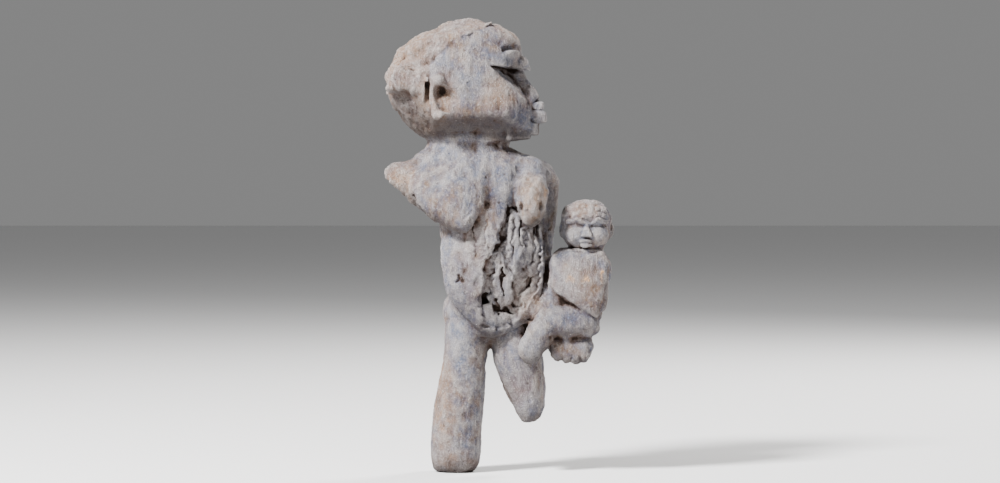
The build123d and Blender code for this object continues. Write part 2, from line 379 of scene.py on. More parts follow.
def sculpt_mouth():
    """Flat lips that jut out, one notch in the upper one, and the square chin behind them."""
    add(hull((34, -30, 328), (72, 30, 352), [
        ((68, 0, 342), (1, 0, 0.04)), ((67, 0, 334), (0.12, 0, -0.99)), ((60, 24, 342), (0.35, 0.94, 0.05)),
        ((60, -24, 342), (0.35, -0.94, 0.05)), ((50, 0, 348), (0, 0, 1)), ((38, 0, 340), (-1, 0, 0))], 2.5), 3)
    add(block((62, 0, 364.3), (12, 15.5, 3.7), 1.6, (0, -3, 0)), 1.2)
    add(hull((54, -24, 340), (80, 24, 366), [
        ((70, 0, 360), (0.1, 0, 1)), ((76.8, 0, 355), (1, 0, 0.05)), ((70, 0, 348), (0.2, 0, -1)),
        ((66, 17.5, 354), (0.25, 1, 0)), ((66, -17.5, 354), (0.25, -1, 0))], 1.8), 1.2)
    cut(tube([(78, 6, 366), (70, 7, 369)], 2.2), 1.5)
    cut(tube([(76, -17, 360.6), (75, 0, 360.2), (76, 17, 360.6)], 1.3), 0.8)
    cut(tube([(72, -14, 345), (73, 0, 344), (72, 14, 345)], 2.8), 2)
    cut(hull((34, -60, 318), (84, 60, 342), [
        ((67, 0, 333.5), (-0.12, 0, 0.99)), ((41, 0, 330), (-1, 0, 0.3)), ((60, 0, 323), (0, 0, -1))], 1), 1.5)


def sculpt_ear(side):
    """A knob over a round hollow, a low ridge behind it and a thick lobe below."""
    add(tube([(-33, side * 46, 390), (-34.5, side * 46.5, 380), (-34, side * 46, 368), (-32, side * 45, 358)],
             (4, 3.4, 3.4, 4)), 3)
    add(ellipsoid((-29.5, side * 47, 389.5), (7, 6.5, 5.5)), 3)
    add(ellipsoid((-25, side * 45, 354), (11, 8, 5.6), (0, 6, 0)), 2)
    cut(ellipsoid((-27, side * 49, 377.5), (7.5, 10, 7)), 2.5)
    cut(ellipsoid((-19, side * 52, 371), (14, 9, 11)), 4)


def flaked(value, steps):
    """value, from -1 to 1, broken into level flakes."""
    at = value * steps
    low = np.floor(at)
    return (low + ramp(at - low, 0.62, 0.95)) / steps


def sculpt_hair():
    """A raised, flaking cap of hair, and a long check that runs down behind the right ear."""
    part, x, y, z = window((-90, -60, 326), (60, 60, 460))
    ragged = 2.2 * noise(x, y, z, (9, 9, 9), 11)
    inside = ramp(hair_depth(x, z) + ragged, -1, 1) * ramp(z, 334, 345)
    lean = z - 0.55 * x
    flakes = flaked(noise(x, y, z, (22, 17, 13), 12) + 0.3 * noise(x, y, z, (7, 7, 7), 13), 3)
    locks = np.abs(noise(x, y, z, (11, 13, 19), 15)) + 0.5 * np.abs(noise(x, y, z, (6, 6, 9), 16))
    clay[part] -= inside * (0.4 + 3.4 * flakes * ramp(lean, 330, 420) - (1 - ramp(locks, 0, 0.3)))
    rough((-90, -60, 326), (60, 60, 460), lambda x, y, z: ramp(hair_depth(x, z), -2, 3), [
        (0.7, (7, 7, 6), 17), (0.3, (2.6, 2.6, 2.6), 14)])
    cut(tube([(-43, -43, 417), (-41, -45, 403), (-40, -46, 389)], (0.6, 1.3, 1.0)), 0.5)
    cut(block((-40.6, -45.5, 372), (2.4, 4, 15), 1, (0, 3, 0)), 1.2)
    cut(tube([(-39.4, -45, 388), (-38.4, -45, 372), (-38, -44, 356), (-35, -42, 342)], (1, 1.2, 1.2, 0.7)), 0.5)
    cut(tube([(29, -2, 449), (42, -6, 436), (48, -10, 424), (54, -7, 414)], (0.8, 0.8, 0.9, 0.5)), 0.5)


def sculpt_head():
    """The broad masses first, then the features that stand on them, and the hair's texture last."""
    sculpt_crown()
    for side in (-1, 1):
        sculpt_ear(side)
    sculpt_nose()
    for side in (-1, 1):
        sculpt_face(side)
    sculpt_mouth()
    sculpt_hair()


# ---- the woman's body ----
def line_gap(points, x, z):
    """The distance to an open line through points in x and z."""
    near = np.float32(1e9)
    for (ax, az), (bx, bz) in zip(points, points[1:]):
        wx, wz = bx - ax, bz - az
        t = np.clip(((x - ax) * wx + (z - az) * wz) / (wx * wx + wz * wz), 0, 1)
        near = np.minimum(near, np.hypot(x - ax - t * wx, z - az - t * wz))
    return near


def outline_depth(points, x, z):
    """How far inside a closed outline in x and z a point lies, in mm; negative outside."""
    closed = points + points[:1]
    crossings = 0
    for (ax, az), (bx, bz) in zip(closed, closed[1:]):
        if az != bz:
            crossings = crossings + (((az > z) != (bz > z)) & (x < (bx - ax) * (z - az) / (bz - az) + ax))
    near = line_gap(closed, x, z)
    return np.where(crossings % 2 == 1, near, -near)


# The rot, as (outline in x and z, depth below the sound skin, width of the wall), each over those before it
ROT = [
    ([(37, 268), (58, 262), (69, 250), (72, 215), (70, 188), (60, 168), (46, 155), (28, 150), (14, 153), (11, 172),
      (16, 194), (17, 211), (31, 231), (30, 243), (36, 252)], 8.0, 1.2),
    ([(36, 262), (38, 250), (37, 236), (28, 218), (27, 206), (22, 196), (22, 178), (12, 172), (15, 195), (16, 211),
      (29, 230), (29, 243), (34, 252)], 11.5, 1.6),
    ([(40, 264), (52, 262), (57, 250), (55, 232), (52, 214), (48, 200), (43, 200), (40, 216), (38, 236), (41, 250)],
     3.0, 1.8),
    ([(59, 254), (67, 248), (70, 225), (67, 205), (61, 200), (57, 214), (58, 236)], 6.0, 1.6),
    ([(27, 200), (34, 208), (42, 200), (44, 188), (43, 170), (37, 167), (32, 165), (27, 172), (25, 184)], 4.0, 1.4),
    ([(53, 196), (60, 197), (67, 186), (61, 168), (53, 160), (50, 170), (52, 184)], 6.0, 1.0),
    ([(44, 191), (51, 190), (54, 194), (63, 198), (61, 188), (54, 180), (51, 164), (45, 166)], 11.5, 1.0),
    ([(12, 174), (20, 172), (28, 167), (33, 162), (38, 166), (45, 160), (52, 159), (46, 149), (28, 143), (14, 147)],
     5.5, 3.0),
    ([(24, 170), (28, 167), (33, 162), (38, 165), (44, 160), (44, 156), (36, 160), (30, 158), (24, 166)], 12.0, 1.2),
    ([(12, 178), (18, 179), (19, 170), (14, 168)], 15.0, 1.2),
]
PLATE_RISE = 3.2  # mm that the last sound plate beside the rot stands proud
PLATE = [(-4, 246), (8, 262), (22, 262), (32, 252), (30, 243), (31, 231), (19, 211), (17, 194), (13, 180), (6, 182),
         (2, 200), (4, 220)]
# Splits, as (line in x and z, depth, half width)
FISSURES = [
    ([(51, 262), (52, 250), (50, 238), (52, 226)], 6.0, 1.2),
    ([(45, 252), (44, 232), (42, 215), (43, 202)], 3.0, 1.3),
    ([(34, 203), (33, 190), (35, 176)], 4.0, 1.1),
    ([(64, 246), (65, 228), (63, 208)], 3.0, 1.6),
    ([(5, 262), (3, 246), (7, 230), (5, 212)], 1.6, 1.2),
    ([(20, 250), (16, 238), (20, 224)], 1.6, 1.2),
    ([(-10, 199), (-8, 195), (-11, 190)], 3.0, 1.6),
]


def sculpt_rot():
    """The rotted belly: plates, channels and splits pressed in from the front, at depths below the skin."""
    part, x, y, z = window((-24, -62, 130), (78, 4, 280))

    def lump(wide, high, seed):
        """Noise that doesn't change with depth."""
        return noise(x, y[:, :1], z, (wide, 9, high), seed)

    warp_x = x + 1.8 * lump(6, 7, 21) + 1.5 * lump(2.6, 3, 22)
    warp_z = z + 2.0 * lump(6, 6, 23) + 1.6 * lump(2.6, 3, 24)
    skin = clay[part] - PLATE_RISE * ramp(outline_depth(PLATE, warp_x, warp_z), -9, 2) * ramp(-y, 4, 14)
    # where each line from the front first meets the skin
    first = np.maximum(np.argmax(skin < 0, axis=1), 1)[:, None, :]
    after, before = np.take_along_axis(skin, first, 1), np.take_along_axis(skin, first - 1, 1)
    front = y.ravel()[first] - STEP * after / np.minimum(after - before, -1e-3)
    front = np.where((skin < 0).any(axis=1)[:, None, :], front, 0)
    depth = 0 * warp_x
    for outline, deep, wall in ROT:
        inside = ramp(outline_depth(outline, warp_x, warp_z), -wall, wall)
        depth = depth + (deep - depth) * inside
    for line, deep, width in FISSURES:
        depth = depth + deep * (1 - ramp(line_gap(line, warp_x, warp_z), 0, width * 1.6))
    torn = ramp(depth, 1, 4)
    layers = flaked(lump(12, 22, 29), 2.5)
    splinters = flaked(lump(6.5, 13, 26), 2)
    chips = np.abs(lump(4.2, 6, 27))
    sunk = torn * (0.6 + 0.4 * ramp(depth, 6, 9))
    depth = depth + sunk * (3.0 * layers + 1.5 * splinters + 1.2 * chips - 0.5 + 0.35 * lump(1.8, 2.4, 25))
    crust = ramp(outline_depth(ROT[0][0], warp_x, warp_z), -26, -2) * (1 - torn)
    crust = crust * ramp(z, 150, 170) * (1 - ramp(z, 256, 274))
    bumps = 2.4 * flaked(lump(11, 14, 28), 2.5) + 1.4 * np.abs(lump(5, 6, 30))
    depth = depth + crust * (1.6 + bumps)
    # a gap along Y is shortened to the gap across a slanting wall
    slant = np.sqrt(1 + np.gradient(depth, STEP, axis=0) ** 2 + np.gradient(depth, STEP, axis=2) ** 2)
    pressed = np.maximum(skin, (front + depth - y) / np.minimum(slant, 3))
    clay[part] = np.where(np.abs(depth) > 0.02, pressed, skin)


def sculpt_trunk():
    """A long belly with a rim, hanging breasts, a sunken flank and the rot."""
    add(ellipsoid((22, 1, 236), (48.5, 38, 78)), 5)
    # the belly, and the groove under it
    outline = [(-26, 247), (-20, 198), (-13, 167), (4, 145), (22, 141), (44, 149), (59, 159), (70, 186), (71, 250)]
    rim = [((bx, -8, bz), (bz - az, 0.6 * math.dist((ax, az), (bx, bz)), ax - bx))
           for (ax, az), (bx, bz) in zip(outline, outline[1:])]
    pot = hull((-34, -60, 132), (80, 30, 262), rim + [
        ((22, -30, 262), (0, 0.6, 0.8)), ((22, 14, 206), (0, 1, 0))], 5)
    add(both(pot, ellipsoid((23, 6, 206), (62, 49, 88)), 6), 3)
    cut(tube([(-29, -12, 204), (-24, -18, 180), (-14, -24, 157), (3, -28, 138), (22, -30, 133), (44, -28, 140),
              (60, -25, 152), (71, -20, 170)], (2, 4, 6.5, 8, 8, 7, 5, 3)), 2.5)
    # the right breast, the ground between the breasts, and the eroded left breast
    add(ellipsoid((-20, -12, 286), (32, 20, 24)), 10)
    add(tube([(-38, -14, 284), (-26, -28, 268), (-9, -41, 251)], (22, 18, 9.5)), 5)
    add(tube([(12, -18, 296), (2, -34, 274), (-8, -42, 251)], (18, 14, 9.5)), 5)
    add(ellipsoid((-6, -24, 288), (28, 16, 20)), 9)
    add(ellipsoid((34, -27, 284), (13, 11, 26), (4, 6, 0)), 5)
    # grooves under and beside the breasts, and the slopes of the left shoulder and flank
    cut(tube([(-34, -24, 249), (-22, -34, 240), (-7, -40, 233), (5, -42, 243), (14, -41, 258), (19, -40, 271)],
             (3, 6, 7.5, 6.8, 5.5, 3)), 2.5)
    cut(tube([(46, -34, 302), (47, -38, 288), (44, -40, 272), (40, -40, 262)], (1.2, 3.2, 3.6, 3)), 1.5)
    cut(hull((68, -24, 288), (110, 60, 330), [((80, 0, 301.5), (-0.62, 0, -0.78))], 1), 3)
    cut(hull((72, -50, 243), (110, 60, 276), [
        ((78.5, 0, 241), (-0.925, 0, 0.378)), ((0, 0, 240), (0, 0, -1)), ((91, 0, 0), (1, 0, 0))], 1), 3)
    sculpt_rot()
    # what is left of the left breast stands over the rot
    add(tube([(62, -16, 302), (61, -30, 284), (61, -40, 266), (60, -46, 254)], (12, 14, 12, 7)), 6)
    cut(ellipsoid((71, -48, 268), (2.5, 6, 5)), 2)
    cut(ellipsoid((52, -52, 262), (3, 8, 9)), 1.5)
    cut(tube([(79, -19, 284), (79.5, -17, 266), (78.5, -12, 238), (77, -8, 214)], (1.6, 3, 2.8, 2)), 2)
    add(tube([(77, 2, 204), (75, -4, 182)], (10, 12)), 8)

    def eroded(x, y, z):
        return ramp(x, 44, 48) * ramp(-y, 18, 26) * ramp(z, 238, 246) * (1 - ramp(z, 292, 300))

    rough((44, -70, 238), (90, -14, 300), eroded, [(1.8, (8, 9, 13), 31), (1.1, (4, 4.5, 6), 32)])


def sculpt_stumps():
    """Splintered ends of the right arm and the left leg."""
    cut(hull((-96, -50, 236), (-26, 50, 300), [
        ((-57, 0, 265.5), (0.69, 0.1, 0.72)), ((-32, 0, 250), (1, 0, 0.25))], 1), 2)
    add(ellipsoid((-48, 8, 290), (22, 20, 17)), 6)

    def arm_end(x, y, z):
        return ramp(-(x * 0.67 - y * 0.22 + z * 0.71), -172, -158) * (1 - ramp(x, -34, -26))

    rough((-90, -40, 240), (-20, 42, 318), arm_end, [(2.4, (8, 5, 8), 41), (1.6, (4, 3, 4), 42)])
    cut(ellipsoid((-56, 14, 264), (12, 8, 12)), 4)
    cut(tube([(-58, -22, 282), (-50, -26, 272), (-44, -26, 262)], (0.8, 1.6, 1)), 1)

    def leg_end(x, y, z):
        return (1 - ramp(z + (x - 47) * 1.2 - (y - 5) * 0.5, 66, 82)) * ramp(y, -14, 4)

    rough((20, -30, 44), (84, 40, 110), leg_end, [(2.6, (5, 5, 14), 43), (1.4, (3, 3, 7), 44)])
    cut(hull((29, -40, 44), (58, 44, 98), [((39.5, 0, 76), (0.89, 0.1, 0.45))], 1), 4)


def sculpt_back():
    """The arm stands clear of the back, under a shelf of shoulder blades and over a pinched waist."""
    cut(tube([(47, 42, 300), (51, 42, 280), (52, 42, 250), (50, 43, 224), (47, 44, 204)], (6, 9, 8.5, 8, 5)), 3)
    add(tube([(50, 24, 303), (12, 27, 302), (-26, 22, 298), (-52, 12, 290)], (13, 14, 15, 15)), 8)
    cut(tube([(47, 44, 290), (38, 44, 277), (26, 43, 264)], (12, 10, 6)), 5)
    cut(tube([(34, 46, 276), (0, 45, 274), (-24, 42, 272)], (9, 9, 7)), 7)
    cut(tube([(14, 50, 270), (10, 50, 248), (10, 50, 220)], (11, 13, 10)), 6)
    cut(ellipsoid((-30, 30, 196), (9, 30, 22)), 8)
    add(ellipsoid((1, 26, 165), (21, 17, 22)), 8)
    add(ellipsoid((44, 25, 167), (20, 17, 22)), 8)


def sculpt_legs():
    """The cleft and the fold over the buttocks, the standing leg's knee, and a foot with four worn toes."""
    cut(tube([(24, 52, 180), (23, 54, 160), (23, 46, 138)], (1.5, 4, 3)), 5)
    cut(tube([(-24, 36, 188), (8, 42, 187), (30, 44, 187), (66, 38, 188)], 3), 5)
    add(ellipsoid((-6, 18, 118), (17, 15, 16)), 8)
    cut(tube([(-26, 30, 104), (-8, 34, 103), (8, 30, 104)], (1.5, 3, 1.5)), 4)
    add(ellipsoid((-24, 14, 26), (13, 13, 15)), 6)
    for i in range(4):
        add(ellipsoid((-26 + i * 7.5, 20 - abs(i - 1.5), 8), (4, 6, 7)), 2)


def sculpt_left_arm():
    """A round upper arm, and a forearm that runs down to the hand under the child."""
    add(tube([(70, 14, 296), (73, 20, 262), (69, 27, 226), (64, 32, 196)], (15, 15, 14, 12)), 6)
    add(tube([(64, 30, 192), (78, 26, 164), (92, 14, 140)], (13, 14, 15)), 5)


def sculpt_hand():
    """Four short fingers curled up under the child, and the thumb beside them."""
    for x, low_z, radius in [(88, 116, 5.2), (97, 114, 5.6), (106, 113, 5.6), (113.5, 114.5, 5.2)]:
        add(tube([(x, -19, 128), (x, -23, low_z + 3), (x + 0.5, -17, low_z)], (radius, radius, radius * 0.8)), 3.5)
    add(tube([(118, -15, 134), (119, -19, 125), (117, -19, 118)], (4.4, 4.6, 3.6)), 2.5)
    for x, high_z in ((92.5, 121), (101.5, 120), (110, 121), (115.6, 132)):
        cut(tube([(x, -29, high_z), (x + 0.5, -28, 116), (x + 0.5, -22, 111)], (0.6, 1.3, 1.3)), 1.2)
    rough((74, -36, 106), (126, 20, 136), lambda x, y, z: 1 - ramp(z, 126, 134), [(1.0, (6, 6, 5), 81)])


# ---- the child ----
def sculpt_child_head():
    """A round head under knobbly hair, with a face in low relief."""
    mid_x, _, mid_z = middle("child_head")
    front = -31
    add(ellipsoid((mid_x, -6, mid_z + 8), (24, 25, 17.5)), 3)
    add(ellipsoid((mid_x + 0.5, -8, mid_z - 4.5), (22.5, 23.5, 21.5)), 3)
    cut(hull((90, -40, 226), (146, -20, 272), [((mid_x, front + 0.5, mid_z - 6), (0, 1, 0.06))], 1), 3)
    for side in (-1, 1):
        cut(tube([(mid_x + side * 5, front, mid_z + 0.6), (mid_x + side * 13, front + 1, mid_z + 0.2),
                  (mid_x + side * 22, front + 9, mid_z + 0.4)], (2.2, 2.9, 2.2)), 1)
        add(tube([(mid_x + 2 + side, front + 0.2, mid_z + 3), (mid_x + side * 10, front + 0.4, mid_z + 6),
                  (mid_x + side * 20, front + 8, mid_z + 4.2)], (1.4, 2.1, 1.7)), 1)
        cut(tube([(mid_x + 2 + side * 3, front - 0.5, mid_z + 7), (mid_x + side * 11, front + 0.5, mid_z + 9.6),
                  (mid_x + side * 20, front + 8, mid_z + 8)], 1.3), 1)
        add(ellipsoid((mid_x + side * 12, front + 8, mid_z - 9), (9, 9, 8)), 5)
        add(ellipsoid((mid_x + side * 23.5, -2, mid_z - 2), (3.5, 4, 7.5)), 2)
        cut(ellipsoid((mid_x + side * 25, -5, mid_z - 1), (2.5, 2, 4)), 1)
    add(hull((mid_x - 9, front - 6, mid_z - 12), (mid_x + 9, front + 8, mid_z + 3), [
        ((mid_x, front - 2, mid_z - 2), (0, -0.95, 0.3)), ((mid_x, front, mid_z - 9.5), (0, 0, -1)),
        ((mid_x + 1.6, front, mid_z), (0.94, 0, 0.34)), ((mid_x - 2.2, front, mid_z), (-0.94, 0, 0.34)),
        ((mid_x, front, mid_z + 2), (0, 0, 1))], 1), 1.5)
    add(ellipsoid((mid_x - 1, front + 1.5, mid_z - 14), (6.2, 4, 2.2)), 1)
    add(ellipsoid((mid_x - 0.5, front + 2, mid_z - 18), (5.6, 4, 2.2)), 1)
    cut(tube([(mid_x - 7, front - 1.5, mid_z - 16), (mid_x + 6, front - 1.5, mid_z - 16.4)], 1.3), 0.6)
    part, x, y, z = window((90, -40, 240), (146, 26, 274))
    hair = ramp(z - 0.5 * np.minimum(np.abs(x - mid_x - 2), 8), mid_z + 0.5, mid_z + 3.5) * (1 - ramp(y, -12, 4))
    knobs = 1.2 * noise(x, y, z, (6, 6, 5.5), 51) - 1.1 * (1 - ramp(np.abs(noise(x, y, z, (7, 7, 6), 53)), 0, 0.3))
    clay[part] -= hair * (1.0 + knobs + 0.8 * noise(x, y, z, (2.6, 2.6, 2.6), 52))


def sculpt_child_body():
    """A flat slab of a chest whose lower edge stands over the folded leg."""
    add(tube([(84, -14, 154), (100, -16, 152), (119, -13, 147)], (15, 14, 11)), 5)
    add(tube([(82, -16, 156), (72, -24, 140), (61, -29, 119)], (13, 12, 9)), 6)
    add(tube([(60, -12, 168), (70, -14, 162), (80, -14, 168)], (14, 14, 12)), 10)
    cut(tube([(81, -32, 136), (92, -35, 133.5), (104, -34, 133.5), (120, -28, 135)], (2, 3, 3, 2)), 3)
    slab = hull((70, -42, 148), (146, 20, 226), [
        ((110, 15, 185), (0, 1, 0)), ((78, 0, 200), (-1, -0.2, 0)), ((80, 0, 188), (-0.87, 0, -0.5)),
        ((106, 0, 168), (-0.526, 0, -0.85)), ((136, 0, 183), (0.978, -0.1, -0.208)), ((82, 0, 216), (-0.7, 0, 0.7)),
        ((137, 0, 214), (0.85, 0, 0.53)), ((110, 0, 223), (0, 0, 1)),
    ], 3)
    add(both(slab, ellipsoid((110, 8, 192), (62, 42, 84), (-6, 0, 0)), 4), 3)
    # the back slopes in to the neck
    cut(hull((76, -10, 196), (148, 26, 230), [
        ((110, 16, 204), (0, -0.62, -0.78)), ((0, 0, 200), (0, 0, -1)), ((84, 0, 0), (-1, 0, 0)),
        ((0, 0, 220), (0, 0, 1))], 1), 4)
    cut(hull((76, 0, 208), (148, 30, 236), [
        ((110, 4, 220), (0, -0.87, -0.5)), ((84, 0, 0), (-1, 0, 0)), ((0, 0, 233), (0, 0, 1))], 1), 3)
    for lean, x in ((0.3, 92), (-0.3, 126)):
        cut(hull((72, -50, 150), (146, -18, 228), [
            ((x, -36.5, 200), (lean, 0.954, 0)), ((106, 0, 172), (-0.526, 0, -0.85)),
            ((80, 0, 190), (-0.87, 0, -0.5))], 2), 6)
    cut(tube([(80, 18, 222), (98, 20, 204), (114, 19, 188), (130, 14, 170)], (2.5, 3.5, 3.5, 2.5)), 3)
    cut(tube([(82, 19, 200), (96, 21, 184), (112, 19, 168)], (2, 3, 2)), 3)
    add(ellipsoid((104, 12, 166), (17, 13, 20), (0, 20, 0)), 5)
    cut(tube([(81, -36, 180), (92, -38, 171), (107, -39, 162), (128, -36, 149)], (2.6, 3.2, 3.4, 2.4)), 1.5)
    cut(tube([(88, -31, 151.5), (99, -31.5, 148), (111, -29, 144)], (0.5, 1.0, 0.5)), 0.4)
    cut(tube([(131, -33, 214), (127, -37, 196), (127.5, -38, 176), (127, -38, 164)], (1, 1.6, 1.6, 1)), 3)
    cut(tube([(97, -18, 227), (105, -27, 222), (117, -30, 219), (129, -27, 221.5), (136, -16, 226)], 1.8), 2)


NEAR, clay = cad_block()
clay = finer(clay)
sculpt_head()
sculpt_trunk()
sculpt_back()
sculpt_legs()
sculpt_stumps()
sculpt_left_arm()
sculpt_child_body()
sculpt_hand()
sculpt_child_head()


# ---- from clay to skin ----
def facing_out(points, quads):
    """quads, turned over if the closed mesh faces inward."""
    corner = points[quads]
    volume = (np.cross(corner[:, 1] - corner[:, 0], corner[:, 3] - corner[:, 0]) * corner[:, 0]).sum()
    return quads if volume > 0 else quads[:, ::-1]


def shell_of(points, quads):
    """The largest closed shell of a mesh, facing outward, without crumbs and sealed hollows."""
    label = np.arange(len(points))
    ends = np.concatenate([quads[:, [0, 1]], quads[:, [1, 2]], quads[:, [2, 3]]])
    while (label[ends[:, 0]] != label[ends[:, 1]]).any():
        low = np.minimum(label[ends[:, 0]], label[ends[:, 1]])
        np.minimum.at(label, label[ends[:, 0]], low)
        np.minimum.at(label, label[ends[:, 1]], low)
        label = label[label[label]]
    keep = label == np.bincount(label).argmax()
    quads = (np.cumsum(keep) - 1)[quads[keep[quads[:, 0]]]]
    return points[keep], facing_out(points[keep], quads)


def normals_of(points, quads):
    """A unit normal for each point of a mesh of quads."""
    across = np.cross(points[quads[:, 2]] - points[quads[:, 0]], points[quads[:, 3]] - points[quads[:, 1]])
    total = np.stack([sum(np.bincount(quads[:, c], across[:, axis], len(points)) for c in range(4))
                      for axis in range(3)], 1)
    return total / np.maximum(np.linalg.norm(total, axis=1), 1e-9)[:, None]


def between(field, low, t):
    """The value of a grid inside its cells: low is a point's lowest corner, t its place from there, 0 to 1."""
    value = 0.0
    for i in (0, 1):
        for j in (0, 1):
            for k in (0, 1):
                weight = (t[:, 0] if i else 1 - t[:, 0]) * (t[:, 1] if j else 1 - t[:, 1])
                weight = weight * (t[:, 2] if k else 1 - t[:, 2])
                value = value + weight * field[low[:, 0] + i, low[:, 1] + j, low[:, 2] + k]
    return value


def sample(field, points, step):
    """The value of a grid at each point."""
    at = np.clip((points - LOW) / step, 0, np.array(field.shape) - 1.001)
    low = np.floor(at).astype(int)
    return between(field, low, at - low)


def lumps(points, size, seed):
    """Smooth random values from -1 to 1 at points, with lumps of that size along X, Y and Z."""
    at = (points - LOW) / np.array(size, float) + 1
    low = np.floor(at).astype(int)
    values = np.random.default_rng(seed).uniform(-1, 1, low.max(0) + 3)
    return between(values, low, eased(at - low))


SKIN_LIFT = 0.9  # mm that the skin is laid on, so that the facets cut back to the clay


def tooled(points, normals):
    """The skin with adze facets, weathered grain that runs up the trunk, and worm pits."""
    facets = 1.5 * np.abs(lumps(points, (12, 12, 16), 61)) + 0.8 * np.abs(lumps(points, (6.5, 6.5, 8), 62))
    flakes = 0.5 * flaked(lumps(points, (5, 5, 7), 67), 2)
    grain = 0.16 * lumps(points, (3.1, 3.1, 22), 63) + 0.1 * lumps(points, (1.6, 1.6, 12), 64)
    pits = ramp(lumps(points, (2.6, 2.6, 3.2), 65), 0.66, 0.85) * 0.7
    grit = 0.22 * lumps(points, (1.5, 1.5, 1.7), 66)
    return points + normals * (SKIN_LIFT - facets * 0.8 + flakes + grain - pits + grit)[:, None]


points, quads = shell_of(*isosurface(clay, STEP))
points = tooled(points, normals_of(points, quads))
skin_normals = normals_of(points, quads)


# ---- one piece for each CAD region ----
def new_mesh(name, points, faces):
    """A mesh in metres from points in sculpting coordinates."""
    mesh = bpy.data.meshes.new(name)
    mesh.from_pydata(((points + ORIGIN) * MM).tolist(), [], faces.tolist())
    return mesh


def new_object(name, data):
    """An object in the scene, made from a mesh, a light or a camera."""
    thing = bpy.data.objects.new(name, data)
    bpy.context.scene.collection.objects.link(thing)
    return thing


def carved(mesh, cutter, operation):
    """mesh cut by the object cutter, as a new mesh."""
    work = new_object("work", mesh)
    step = work.modifiers.new("cut", "BOOLEAN")
    step.object, step.operation, step.solver = cutter, operation, "MANIFOLD"
    seen = work.evaluated_get(bpy.context.evaluated_depsgraph_get())
    result = bpy.data.meshes.new_from_object(seen)
    bpy.data.objects.remove(work)
    return result


CUT_SHIFT = 0.3  # how much nearer the first half has to be, in mm, which keeps cuts off the CAD's own faces


def divided(mesh, nodes):
    """{node: mesh}: mesh shared out among CAD nodes, each point to the node that is nearest."""
    if len(nodes) == 1:
        return {nodes[0]: mesh}
    half, others = nodes[:len(nodes) // 2], nodes[len(nodes) // 2:]
    field = np.minimum.reduce([NEAR[node] for node in half]) - np.minimum.reduce([NEAR[node] for node in others])
    field = field + CUT_SHIFT
    for axis in range(3):  # outside at the edge of the grid, so that the cutter closes
        face = np.moveaxis(field, axis, 0)
        face[0] = face[-1] = BAND
    cut_points, cut_quads = isosurface(field, STEP * COARSE)
    cutter = new_object("cutter", new_mesh("cutter", cut_points, facing_out(cut_points, cut_quads)))
    inside, outside = carved(mesh, cutter, "INTERSECT"), carved(mesh, cutter, "DIFFERENCE")
    bpy.data.objects.remove(cutter)
    return {**divided(inside, half), **divided(outside, others)}


def skin_tree():
    """The whole skin's points, for finding those nearest to a place."""
    tree = kdtree.KDTree(len(points))
    for i, point in enumerate(points):
        tree.insert(point, i)
    tree.balance()
    return tree


def blobs(places, x, y, z):
    """How much a point belongs to any of some soft blobs, each (centre, radii, strength)."""
    most = 0.0
    for centre, radii, strength in places:
        gap = np.sqrt(((x - centre[0]) / radii[0]) ** 2 + ((y - centre[1]) / radii[1]) ** 2
                      + ((z - centre[2]) / radii[2]) ** 2)
        most = np.maximum(most, strength * (1 - ramp(gap, 0.3, 1.1)))
    return most


WARM = [  # where handling and rot left the wood tan
    ((-55, 0, 415), (45, 60, 40), 0.5), ((-30, -45, 365), (24, 20, 40), 0.55), ((30, -42, 372), (26, 20, 24), 0.5),
    ((64, -44, 268), (16, 24, 34), 1.0), ((-66, -6, 282), (26, 40, 34), 0.75), ((-26, -2, 70), (16, 40, 80), 0.6),
    ((6, -22, 225), (24, 30, 70), 0.45), ((106, -20, 190), (34, 24, 32), 0.55), ((117, -20, 262), (24, 30, 16), 0.6),
    ((40, -6, 440), (24, 40, 18), 0.5), ((52, -24, 178), (26, 20, 30), 0.4), ((-15, -12, 12), (30, 40, 16), 0.5),
    ((50, 0, 85), (26, 30, 40), 0.35), ((20, 40, 160), (50, 22, 34), 0.35), ((40, 24, 406), (24, 20, 12), 0.4),
]
OCHRE = [  # chips that show fresh wood
    ((101, -34, 194), (4.5, 9, 6), 0.9), ((116, -32, 193), (5, 9, 5), 0.9), ((131, -28, 196), (4, 9, 9), 0.7),
    ((-74, 26, 404), (9, 12, 16), 0.9), ((52, 24, 411), (5, 8, 6), 0.7), ((46, 34, 417), (6, 6, 5), 0.5),
]
COOL = [  # where the wood is blue grey
    ((52, -34, 226), (20, 24, 40), 0.8), ((-14, -30, 182), (18, 24, 30), 0.7), ((40, -34, 352), (34, 30, 22), 0.8),
    ((34, -34, 278), (16, 16, 34), 0.8), ((-16, -30, 262), (20, 24, 26), 0.4),
    ((14, -20, 168), (40, 30, 34), 0.6), ((20, 36, 235), (50, 20, 60), 0.5), ((104, -24, 154), (30, 24, 16), 0.6),
    ((48, -14, 100), (20, 20, 50), 0.5),
]
TORN_ENDS = [  # the left breast and the broken arm and leg
    ((64, -46, 266), (18, 20, 32), 1), ((-50, 4, 270), (26, 40, 30), 1), ((50, 12, 60), (34, 34, 22), 1),
]
# undersides get painted shade, darker where there is wood above a point and none below it
UNDERSIDE_SHADE_SPAN = 7  # mm above and below a point, compared to tell an underside


